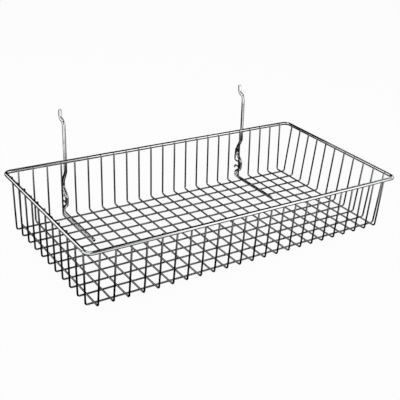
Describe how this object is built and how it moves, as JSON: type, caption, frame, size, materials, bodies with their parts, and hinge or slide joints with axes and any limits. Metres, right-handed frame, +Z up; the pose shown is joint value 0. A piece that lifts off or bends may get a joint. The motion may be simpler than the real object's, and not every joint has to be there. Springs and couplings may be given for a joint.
{
  "type": "wire display basket",
  "caption": "Shallow rectangular wire mesh basket with a heavy top hoop and two welded rear hangers that hook on a pegged, slotted or grid wall panel.",
  "frame": {"origin": "middle of the whole part's footprint, hangers included, at the underside of the hangers' legs", "axes": "+X along the basket's length, to the right seen from the front; +Y back towards the wall panel; +Z up"},
  "size_m": [0.6096, 0.3314, 0.1899],
  "materials": {
    "frame_wire": "bright chrome plate, 6.35 mm wire",
    "mesh_wire": "bright chrome plate, 3 mm wire",
    "hanger_wire": "bright chrome plate, 6 mm wire",
    "hook_wire": "bright chrome plate, 3 mm wire"
  },
  "bodies": {
    "root": {"rim_hoop": "frame_wire", "cross_wire_01": "mesh_wire", "cross_wire_02": "mesh_wire", "cross_wire_03": "mesh_wire", "cross_wire_04": "mesh_wire", "cross_wire_05": "mesh_wire", "cross_wire_06": "mesh_wire", "cross_wire_07": "mesh_wire", "cross_wire_08": "mesh_wire", "cross_wire_09": "mesh_wire", "cross_wire_10": "mesh_wire", "cross_wire_11": "mesh_wire", "cross_wire_12": "mesh_wire", "cross_wire_13": "mesh_wire", "cross_wire_14": "mesh_wire", "cross_wire_15": "mesh_wire", "cross_wire_16": "mesh_wire", "cross_wire_17": "mesh_wire", "cross_wire_18": "mesh_wire", "cross_wire_19": "mesh_wire", "cross_wire_20": "mesh_wire", "cross_wire_21": "mesh_wire", "cross_wire_22": "mesh_wire", "cross_wire_23": "mesh_wire", "long_wire_01": "mesh_wire", "long_wire_02": "mesh_wire", "long_wire_03": "mesh_wire", "long_wire_04": "mesh_wire", "long_wire_05": "mesh_wire", "long_wire_06": "mesh_wire", "long_wire_07": "mesh_wire", "long_wire_08": "mesh_wire", "long_wire_09": "mesh_wire", "long_wire_10": "mesh_wire", "long_wire_11": "mesh_wire", "hanger_left": "hanger_wire", "hanger_right": "hanger_wire", "notch_hook_left": "hook_wire", "notch_hook_right": "hook_wire"}
  },
  "joints": []
}
